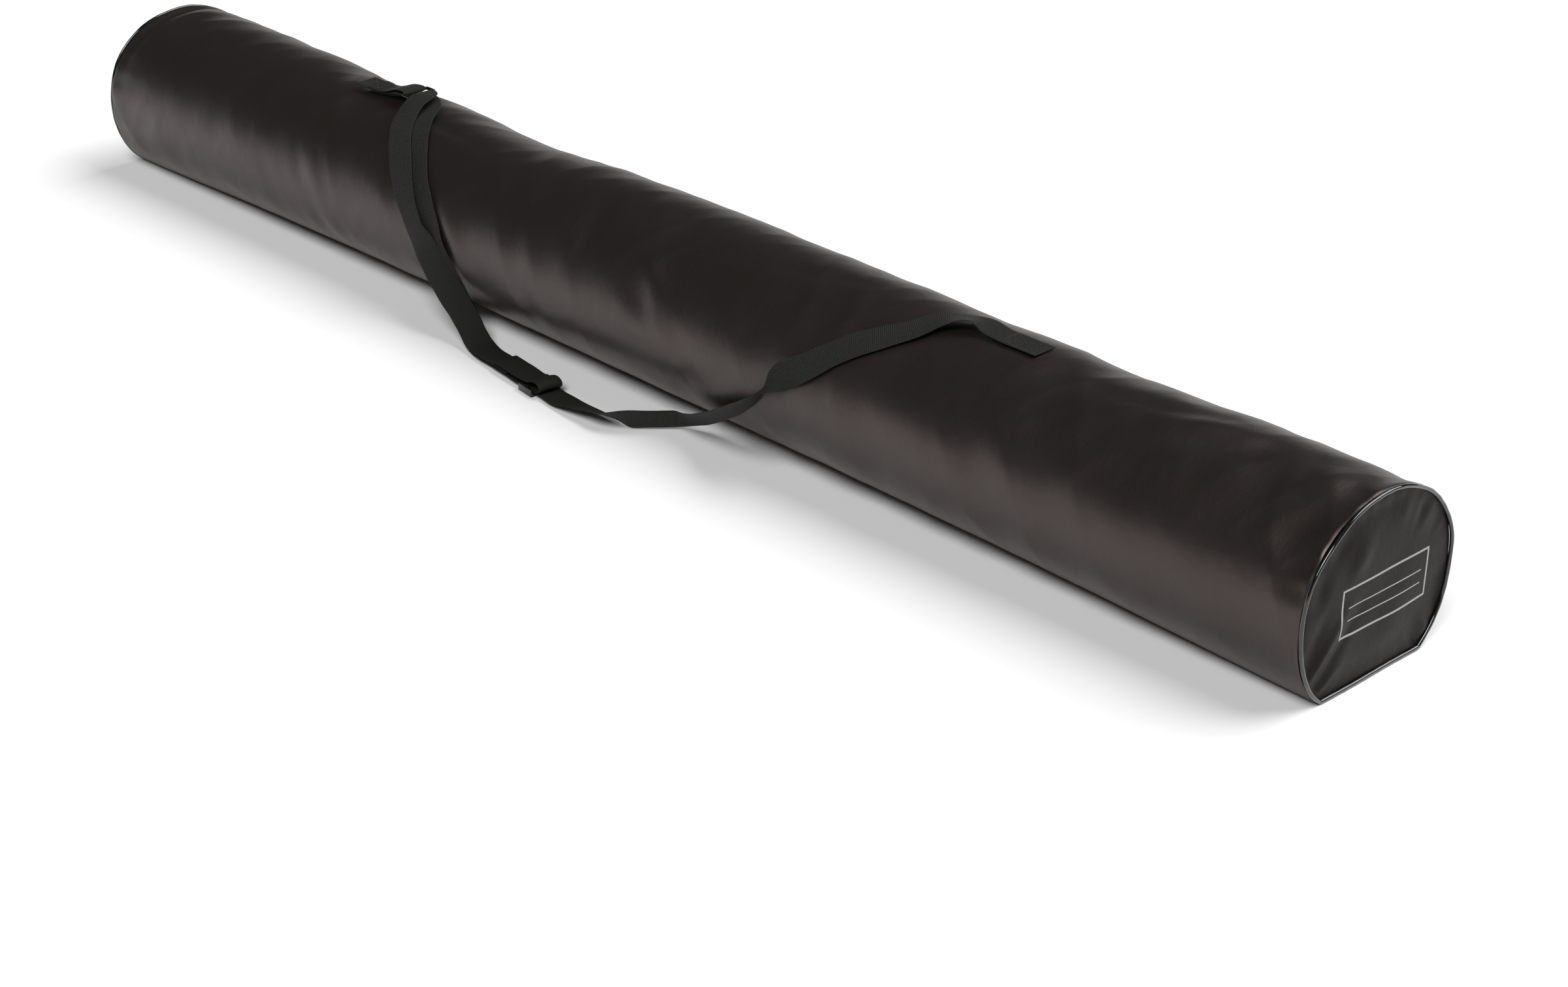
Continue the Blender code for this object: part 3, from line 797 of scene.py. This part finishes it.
def smooth_path(stations, step=0.0024):
    """Evenly spaced centres and normals on a smooth curve through (point, normal) stations."""
    stations = np.array([(tuple(point), tuple(normal)) for point, normal in stations])
    ends = np.concatenate([stations[:1], stations, stations[-1:]])
    t = np.linspace(0, 1, 24, endpoint=False)[:, None, None]
    pieces = [curve_through(*ends[k - 1 : k + 3], t) for k in range(1, len(ends) - 2)]
    both = np.concatenate(pieces + [stations[-1:]])
    along = distances(both[:, 0])
    even = np.linspace(0, along[-1], max(4, int(along[-1] / step)))
    centres, normals = resample(even, along, both[:, 0]), resample(even, along, both[:, 1])
    for _ in range(3):
        for values in (centres, normals):
            values[1:-1] = (values[:-2] + 2 * values[1:-1] + values[2:]) / 4
    return centres, normals, even


def ribbon(name, stations):
    """Webbing along a path: a flat band with rounded edges, a little cupped. Also its length."""
    centres, normals, along = smooth_path(stations)
    tangents = unit(np.gradient(centres, axis=0))
    sides = unit(np.cross(normals, tangents))
    ups = np.cross(tangents, sides)
    spread = np.sin(np.linspace(-math.pi / 2, math.pi / 2, 13))
    flat = np.sign(spread) * np.abs(spread) ** 0.9 * (WEB_WIDTH / 2)
    half = WEB / 2 * np.clip(1 - np.abs(spread) ** 14 * 0.75, 0, 1)
    cup = 0.0004 * (np.abs(spread) ** 2)
    across = np.concatenate([flat, flat[::-1]])
    height = np.concatenate([half, -half[::-1]]) + np.concatenate([cup, cup[::-1]])
    wobble = 0.00035 * np.sin(along * 71) + 0.0002 * np.sin(along * 173 + 1)
    edge = across[None, :] * (1 + wobble[:, None] / (WEB_WIDTH / 2))
    sideways, upwards = edge[..., None] * sides[:, None], height[None, :, None] * ups[:, None]
    points = centres[:, None] + sideways + upwards
    unrolled = np.append(across + WEB_WIDTH / 2, across[0] + WEB_WIDTH / 2)
    u, v = np.meshgrid(along, unrolled, indexing="ij")
    made = fill_ends(grid(name, points, np.stack([v, u], -1), True))
    edit(made, lambda m: bmesh.ops.recalc_face_normals(m, faces=m.faces))
    return made, float(along[-1])


def on_bag(x, degrees, out, facing=1):
    """A station that lies on the bag, its face turned outwards (1) or inwards (-1)."""
    turn = math.radians(degrees)
    return skin_point(x, turn, out), facing * outward(x, turn)


def free(x, y, z, nx, ny, nz):
    """A station clear of the bag."""
    return Vector((x, y, z)), Vector((nx, ny, nz)).normalized()


ADJUSTER_FRAME = Matrix.Translation(ADJUSTER) @ Matrix.Rotation(ADJUSTER_HEADING, 4, "Z")


def by_adjuster(along, z, facing=1):
    """A station on the straight stretch that the adjuster slides on."""
    return ADJUSTER_FRAME @ Vector((along, 0, z)), facing * UP


def half_turn(bar_x, radius, first, last, step):
    """Webbing round one of the ring's bars."""
    bar = Vector((bar_x, 0, RING_HEIGHT))
    for degrees in range(first, last, step):
        away = Vector((math.cos(math.radians(degrees)), 0, math.sin(math.radians(degrees))))
        yield bar + radius * away, -away


def strap_stations():
    """The sewn end, single run, adjuster's stretch, lower layer, ring and upper layer."""
    single = [
        free(0.5450, 0.000, 0.1892, 0, 0, 1),
        free(0.5250, 0.000, 0.1892, 0, 0, 1),
        free(0.5050, 0.000, 0.1892, 0, 0, 1),
        free(0.4865, 0.000, 0.1896, 0, 0, 1),
        free(0.4740, 0.001, 0.1912, -0.1, 0, 1),
        free(0.4620, 0.000, 0.1942, -0.25, 0.05, 0.97),
        free(0.4500, -0.005, 0.1958, -0.25, 0.1, 0.96),
        free(0.4380, -0.014, 0.1950, -0.15, 0.05, 0.98),
        free(0.4260, -0.027, 0.1915, -0.1, -0.2, 0.97),
        on_bag(0.411, -24, 0.004),
        on_bag(0.388, -34.5, 0.003),
        on_bag(0.363, -45, 0.003),
        on_bag(0.340, -56, 0.003),
        on_bag(0.317, -67, 0.004),
        on_bag(0.296, -75, 0.006),
        free(0.2785, -0.1285, 0.0974, -0.653, -0.146, 0.742),
        free(0.2549, -0.1275, 0.0768, -0.66, 0.30, 0.69),
        free(0.2250, -0.1230, 0.0553, -0.64, 0.52, 0.56),
        free(0.1918, -0.1160, 0.0357, -0.635, 0.59, 0.50),
        free(0.1660, -0.1115, 0.0230, -0.638, 0.604, 0.475),
        free(0.1442, -0.1125, 0.0165, -0.638, 0.604, 0.475),
        free(0.1281, -0.1260, 0.0150, -0.638, 0.604, 0.475),
        free(0.1140, -0.1406, 0.0147, -0.638, 0.604, 0.475),
        free(0.1000, -0.1525, 0.0142, -0.62, 0.60, 0.50),
        free(0.0818, -0.1586, 0.0128, -0.5, 0.45, 0.74),
        free(0.0644, -0.1590, 0.0110, -0.35, 0.4, 0.85),
        free(0.0452, -0.1585, 0.0085, -0.2, 0.3, 0.93),
        free(0.0272, -0.1582, 0.0062, -0.1, 0.2, 0.97),
    ]
    straight = [by_adjuster(s, 0.0038) for s in (0.045, 0.02, -0.02, -0.06, -0.105)]
    under = [
        free(-0.1720, -0.1330, 0.0065, 0.2, -0.2, 0.96),
        free(-0.2030, -0.1260, 0.0250, 0.4, -0.45, 0.8),
        free(-0.2380, -0.1210, 0.0540, 0.3, -0.75, 0.6),
        on_bag(-0.262, -91, 0.004),
        on_bag(-0.280, -79, 0.002),
        on_bag(-0.303, -66, 0.002),
        on_bag(-0.328, -53, 0.002),
        on_bag(-0.360, -36, 0.002),
        on_bag(-0.388, -20, 0.003),
        free(-0.4060, -0.014, 0.1930, 0, -0.1, 1),
        free(-0.4200, -0.003, 0.1960, 0, 0, 1),
    ]
    over = [
        free(-0.4240, -0.002, 0.2040, 0, 0, -1),
        free(-0.4190, -0.012, 0.2036, 0, 0.1, -1),
        free(-0.4160, -0.027, 0.1985, 0, 0.4, -0.9),
        on_bag(-0.408, -24, 0.0065, -1),
        on_bag(-0.390, -35, 0.006, -1),
        on_bag(-0.368, -46, 0.006, -1),
        on_bag(-0.334, -65, 0.006, -1),
        on_bag(-0.303, -83, 0.006, -1),
        free(-0.2740, -0.1230, 0.0850, -0.3, 0.85, -0.4),
        free(-0.2420, -0.1262, 0.0600, -0.4, 0.6, -0.7),
        free(-0.2040, -0.1280, 0.0310, -0.4, 0.45, -0.8),
        free(-0.1720, -0.1345, 0.0110, -0.2, 0.2, -0.96),
    ]
    overlap = [by_adjuster(s, 0.0073, -1) for s in (-0.105, -0.075, -0.045)]
    ring = list(half_turn(RING_OUTER_X, RING_WIRE + WEB / 2 + 0.0006, -90, -271, -45))
    return single + straight + under + ring + over + overlap


def adjuster_loop():
    """The strap's folded end: a tail over the upper run and a loop round the centre bar."""
    points = [
        (-0.070, 0.0105),
        (-0.040, 0.0105),
        (-0.006, 0.0107),
        (0.008, 0.0160),
        (0.019, 0.0165),
        (0.0245, 0.0115),
        (0.019, 0.0066),
        (0.008, 0.0058),
        (-0.010, 0.0056),
    ]
    stations = []
    for k, (along, z) in enumerate(points):
        before, after = points[max(k - 1, 0)], points[min(k + 1, len(points) - 1)]
        rise = Vector((before[1] - after[1], 0, after[0] - before[0])).normalized()
        stations.append((ADJUSTER_FRAME @ Vector((along, 0, z)), ADJUSTER_FRAME.to_3x3() @ rise))
    return ribbon("adjuster_webbing", stations)


def far_tab():
    """The far anchor: sewn flat to the bag, then round the ring's inner bar and back."""
    flat = TOP + 0.0012
    line = [(-0.545, flat), (-0.525, flat), (-0.500, flat), (-0.484, flat + 0.0025)]
    line += [(-0.466, 0.1975)]
    stations = [(Vector((x, 0, z)), UP) for x, z in line]
    stations += half_turn(RING_INNER_X, RING_WIRE + WEB / 2 + 0.0004, -90, 91, 30)
    back = [(-0.466, 0.2015), (-0.480, 0.1962), (-0.497, flat + 0.0022), (-0.520, flat + 0.0020)]
    stations += [(Vector((x, 0, z)), -UP) for x, z in back]
    return ribbon("far_tab", stations)


def strap_adjuster():
    """A moulded three-bar slide with softened edges."""
    top, low, inner = 0.0091, 0.0003, 0.0160
    parts = [
        ("rail_a", (-0.013, 0.0156, low), (0.013, 0.0190, top)),
        ("rail_b", (-0.013, -0.0190, low), (0.013, -0.0156, top)),
        ("bar_left", (-0.013, -inner, low), (-0.0100, inner, 0.0027)),
        ("bar_right", (0.0100, -inner, low), (0.013, inner, 0.0027)),
        ("bar_centre", (-0.0016, -inner, 0.0067), (0.0016, inner, top)),
    ]
    made = [rounded_box(n, lo, hi, ADJUSTER_FRAME, 0.0009) for n, lo, hi in parts]
    return smooth(join("adjuster_frame", made))


def ring():
    middle = (RING_INNER_X + RING_OUTER_X) / 2
    half = (RING_OUTER_X - RING_INNER_X) / 2
    outline = rounded_outline(-half, half, 0.018, 0.003, 8)
    path = [(middle + x, y, RING_HEIGHT) for x, y in outline]
    return tube("ring", path, RING_WIRE, 16, UP, closed=True)


# ---------------------------------------------------------------- stitching


def stitches(name, rows):
    """Rows of thread. Each row is a list of (point, normal) that its stitches follow."""
    long, gap, thick = 0.0026, 0.0010, 0.00035
    rise = np.array([-0.9, 0.35, 0.8, 0.35, -0.9]) * thick
    fat = np.array([0.55, 0.9, 1.0, 0.9, 0.55]) * thick
    turns = np.linspace(0, 2 * math.pi, 6, endpoint=False)
    points, faces = [], []
    for row in rows:
        spots = np.array([tuple(p) for p, _ in row])
        normals = np.array([tuple(n) for _, n in row])
        along = distances(spots)
        for start in np.arange(gap, along[-1] - long, long + gap):
            t = start + long * np.array([0, 0.12, 0.5, 0.88, 1.0])
            centre, normal = resample(t, along, spots), unit(resample(t, along, normals))
            side = np.cross(normal, unit(centre[-1] - centre[0]))
            first = len(points)
            for k in range(5):
                for turn in turns:
                    ring_at = math.cos(turn) * side[k] + math.sin(turn) * normal[k]
                    points.append(centre[k] + rise[k] * normal[k] + fat[k] * ring_at)
            for k in range(4):
                for j in range(6):
                    a, b = first + 6 * k + j, first + 6 * k + (j + 1) % 6
                    faces.append((a, a + 6, b + 6, b))
    return mesh_from(name, points, faces)


def box_stitch(x0, x1, half, z):
    """A stitched box with a cross in it, on a flat webbing end."""
    corners = [(x0, -half), (x1, -half), (x1, half), (x0, half)]
    lines = list(zip(corners, corners[1:] + corners[:1]))
    lines += [(corners[0], corners[2]), (corners[3], corners[1])]
    return [[(Vector((*a, z)), UP), (Vector((*b, z)), UP)] for a, b in lines]


def zip_topstitch():
    """Two long rows that hold the zip tapes, one each side of the slot."""
    rows = []
    zip_arc = float(arc_at(ZIP_TURN))
    for side in (-1, 1):
        x = np.linspace(-0.812, 0.812, 240)
        arc = np.full_like(x, zip_arc + side * 0.0105)
        points, normals = surface(x, turn_at(arc), wrap_height(x, arc) + 0.0001)
        rows.append([(Vector(p), Vector(n)) for p, n in zip(points, normals)])
    return rows


# ---------------------------------------------------------------- the zip


def zip_frame():
    """X along the bag, Y round it, Z out of it, on the zip's line."""
    out = outward(0, ZIP_TURN)
    made = Matrix((X, out.cross(X), out)).transposed().to_4x4()
    made.translation = skin_point(0, ZIP_TURN)
    return made


def in_frame(where, points):
    """Points of a frame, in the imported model's frame."""
    where = np.array(where)
    return np.asarray(points) @ where[:3, :3].T + where[:3, 3]


def zip_tape(name, side):
    """One tape, with a cord woven into its inner edge."""
    along, across = np.linspace(-0.815, 0.815, 160), np.linspace(0.0022, 0.0168, 9)
    x, s = np.meshgrid(along, across, indexing="ij")
    cord = 0.0007 * np.exp(-(((s - 0.0032) / 0.0007) ** 2))
    arc = float(arc_at(ZIP_TURN)) + side * s
    points, _ = surface(x, turn_at(arc), -0.0022 + cord)
    if side > 0:
        points, x, s = points[:, ::-1], x[:, ::-1], s[:, ::-1]
    made = grid(name, points[:, ::-1], np.stack([x, s], -1)[:, ::-1])
    return thicken(made, 0.0006)


def zip_coil(name, side):
    """An oval nylon spiral whose turns mesh with the other side's."""
    half_length, pitch, steps = 0.797, 0.0016, 9
    turns = int(2 * half_length / pitch)
    t = np.arange(turns * steps + 1) / steps
    angle = 2 * math.pi * t
    shift = pitch / 2 if side > 0 else 0.0
    across = side * (0.00125 + 0.00155 * np.cos(angle))
    height = -0.00075 + 0.00062 * np.sin(angle)
    path = in_frame(ZIP, np.stack([-half_length + shift + pitch * t, across, height], -1))
    return tube(name, path, 0.00026, 5, outward(0, ZIP_TURN))


def zip_slider():
    """Top and bottom shields, side flanges and the arched bail."""
    here = ZIP @ Matrix.Translation((SLIDER_X, 0, 0))
    shield = [(0.0060, 0.0030), (0.0046, 0.0050), (-0.0030, 0.0046), (-0.0060, 0.0030)]
    shield += [(x, -y) for x, y in reversed(shield)]
    above, below = (here @ Matrix.Translation((0, 0, z)) for z in (0.0012, -0.0037))
    parts = [
        plate("top", [shield], 0.0012, above, 0.0003),
        plate("bottom", [shield], 0.0010, below, 0.0003),
    ]
    blocks = (
        ("blade", (0.0018, -0.0004, -0.0036), (0.0052, 0.0004, 0.0012)),
        ("side_a", (-0.0056, -0.0048, -0.0010), (0.0046, -0.0041, 0.0012)),
        ("side_b", (-0.0056, 0.0041, -0.0010), (0.0046, 0.0048, 0.0012)),
    )
    parts += [rounded_box(name, low, high, here, 0.0002) for name, low, high in blocks]
    turn = np.linspace(0, math.pi, 18)
    rise = 0.0014 + 0.0029 * np.sin(turn) ** 0.6
    arch = np.stack([0.0034 * np.cos(turn), np.zeros(18), rise], -1)
    bail = tube("bail", in_frame(here, arch), 0.0006, 10, ZIP.col[1][:3], flat=0.8)
    return smooth(join("slider", parts + [bail]))


def zip_pull():
    """A stamped pull with an eye, a grip hole and raised ribs, its end bar under the bail."""
    hinge = ZIP @ Matrix.Translation((SLIDER_X, 0, PULL_OUT))
    outline = rounded_outline(-0.0300, 0.0005, 0.0035, 0.0016)
    eye = rounded_outline(-0.0062, -0.0006, 0.0017, 0.0009)
    grip = rounded_outline(-0.0270, -0.0190, 0.0015, 0.0014)
    flat = plate("flat", [outline, eye, grip], 0.0010, hinge, 0.0002)
    ribs = [
        rounded_box(f"rib_{k}", (x, -0.0026, 0.0002), (x + 0.0007, 0.0026, 0.0008), hinge, 0.0002)
        for k, x in enumerate(np.arange(-0.0175, -0.0085, 0.0016))
    ]
    return smooth(join("pull_plate", [flat] + ribs))


def zip_end_tab(name, side):
    """A folded tab of the wrap's cloth over the zip's end."""
    middle, half_length, half_width = 0.816, 0.020, 0.016
    along = side * np.linspace(middle - half_length, middle + half_length, 26)
    x, across = np.meshgrid(along, np.linspace(-half_width, half_width, 26), indexing="ij")
    arc = float(arc_at(ZIP_TURN)) + across
    to_side, to_end = np.abs(across) / half_width, np.abs(np.abs(x) - middle) / half_length
    ease = 1 - np.maximum(to_side, to_end) ** 12
    soft = 0.0004 * np.sin(x * 260) * np.cos(across * 190)
    points, _ = surface(x, turn_at(arc), 0.0004 + (0.0011 + soft) * ease)
    if side < 0:
        points, x = points[::-1], x[::-1]
    return grid(name, points, np.stack([x, arc], -1))


# ---------------------------------------------------------------- stage, lights and camera


def add_sun(name, towards, strength, softness):
    """An even, soft light from one direction. The softness is its width in degrees."""
    data = bpy.data.lights.new(name, "SUN")
    data.energy = strength
    data.angle = math.radians(softness)
    made = linked(name, data)
    made.location = 3 * Vector(towards)
    made.rotation_euler = Vector(towards).to_track_quat("Z", "Y").to_euler()


def studio():
    """A pale floor, two broad suns, and a sky that is bright low down and dark overhead."""
    corners = [(-30, -30, 0), (30, -30, 0), (30, 30, 0), (-30, 30, 0)]
    floor = mesh_from("floor", corners, [(0, 1, 2, 3)])
    floor.location.z = -0.0002
    look = Look("floor_paper", Roughness=0.85, Specular_IOR_Level=0.2)
    place = look.node("ShaderNodeTexCoord").outputs["Object"]
    tone = look.noise(1.5, 3, place)
    look.finish(look.mix(tone, (0.86, 0.86, 0.86), (0.84, 0.84, 0.84)))
    floor.data.materials.append(look.material)
    add_sun("key", (0.30, -0.55, 0.78), 2.3, 30)
    add_sun("back", (0.30, 0.55, 0.78), 3.1, 50)
    world = bpy.data.worlds.new("studio")
    world.use_nodes = True
    tree = world.node_tree
    background = tree.nodes["Background"]
    background.inputs["Color"].default_value = (1, 1, 1, 1)
    sky = tree.nodes.new("ShaderNodeTexCoord")
    height = tree.nodes.new("ShaderNodeSeparateXYZ")
    glow = tree.nodes.new("ShaderNodeMapRange")
    settings = {"From Min": 0.02, "From Max": 0.14, "To Min": 1.1, "To Max": 0.03}
    for label, value in settings.items():
        glow.inputs[label].default_value = value
    tree.links.new(sky.outputs["Generated"], height.inputs[0])
    tree.links.new(height.outputs[2], glow.inputs["Value"])
    tree.links.new(glow.outputs[0], background.inputs["Strength"])
    bpy.context.scene.world = world
    bpy.context.scene.view_settings.view_transform = "Standard"


def camera():
    """The photo's view, solved from the outlines of the bag's two ends."""
    data = bpy.data.cameras.new("camera")
    data.lens = 69.33
    data.sensor_width = 36.0
    data.sensor_fit = "HORIZONTAL"
    data.dof.use_dof = False
    made = linked("camera", data)
    made.location = (2.2944, -1.9999, 1.3727)
    made.rotation_euler = (math.radians(63.21), 0, math.radians(46.585))
    bpy.context.scene.camera = made


# ---------------------------------------------------------------- build


def paint(obj, material):
    obj.data.materials.clear()
    obj.data.materials.append(material)
    return obj


def place(obj, material, slot, body, *nodes):
    """Paints a piece, puts it on its body and lets it stand for its CAD nodes."""
    paint(obj, material)
    if nodes:
        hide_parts(*nodes)
    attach(obj, body)
    return obj


camera()
studio()
ZIP = zip_frame()

cloth = nylon("wrap_nylon")
panel_cloth = nylon("panel_nylon", panel=True)
printed_cloth = nylon("printed_nylon", panel=True, label=True)
vinyl = hard("piping_vinyl", (0.004, 0.004, 0.004), 0.13, 0.10, coat=0.6)
moulded = hard("moulded_plastic", (0.004, 0.004, 0.004), 0.17, 0.10)
enamel = hard("slider_enamel", (0.016, 0.016, 0.016), 0.28, 0.12, coat=0.3, metal=0.4)
coil_nylon = hard("coil_nylon", (0.012, 0.012, 0.012), 0.34, 0.10)
band = webbing_cloth()
tape = tape_cloth()
thread = thread_look()

place(wrap(), cloth, "black_nylon", "bag", "body_panel")
for end, side, end_cloth in (("near", 1, printed_cloth), ("far", -1, panel_cloth)):
    panel = end_panel(f"{end}_panel", side)
    place(panel, end_cloth, "black_nylon", "bag", f"{end}_end_panel")
    place(piping(f"{end}_cord", side), vinyl, "piping_vinyl", "bag", f"{end}_piping")
    tab = zip_end_tab(f"zip_tab_{end}", side)
    place(tab, cloth, "black_nylon", "bag", f"zip_end_tab_{end}")
    node = f"{end}_seam_binding"
    low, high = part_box(node)
    name = f"{end}_binding_strip"
    strip = lining(name, low[0], high[0], -GIRTH / 2, GIRTH / 2, 180, closed=True)
    place(strip, tape, "zip_tape_cloth", "bag", node)
    node = f"{end}_anchor_patch"
    low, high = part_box(node)
    patch = lining(f"{end}_patch_cloth", low[0], high[0], low[1], high[1], 26)
    place(patch, cloth, "black_nylon", "bag", node)
for spot, side in (("upper", -1), ("lower", 1)):
    place(zip_tape(f"tape_{spot}", side), tape, "zip_tape_cloth", "bag", f"zip_tape_{spot}")
    place(zip_coil(f"coil_{spot}", side), coil_nylon, "zip_coil_nylon", "bag", f"zip_coil_{spot}")
place(zip_slider(), enamel, "slider_enamel", "slider", "zip_slider")
place(zip_pull(), enamel, "slider_enamel", "pull", "zip_pull")

strap, strap_length = ribbon("strap", strap_stations())
paint(strap, band)
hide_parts("strap_webbing", "strap_sewn_end")
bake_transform(strap)
tab, tab_length = far_tab()
paint(tab, band)
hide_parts("far_anchor_tab", "far_anchor_loop")
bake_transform(tab)
loop, loop_length = adjuster_loop()
place(loop, band, "strap_webbing_cloth", "adjuster", "adjuster_loop")
place(strap_adjuster(), moulded, "hardware_plastic", "adjuster", "strap_adjuster")
place(ring(), moulded, "hardware_plastic", "strap", "anchor_ring")

seams = box_stitch(0.499, 0.541, 0.0125, 0.1900) + box_stitch(-0.541, -0.503, 0.0125, 0.1925)
place(stitches("strap_stitching", seams), thread, "strap_webbing_cloth", "bag")
place(stitches("zip_stitching", zip_topstitch()), thread, "black_nylon", "bag")

for node in ("zip_top_stop_upper", "zip_top_stop_lower", "zip_bottom_stop"):
    paint(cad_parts[node], enamel)
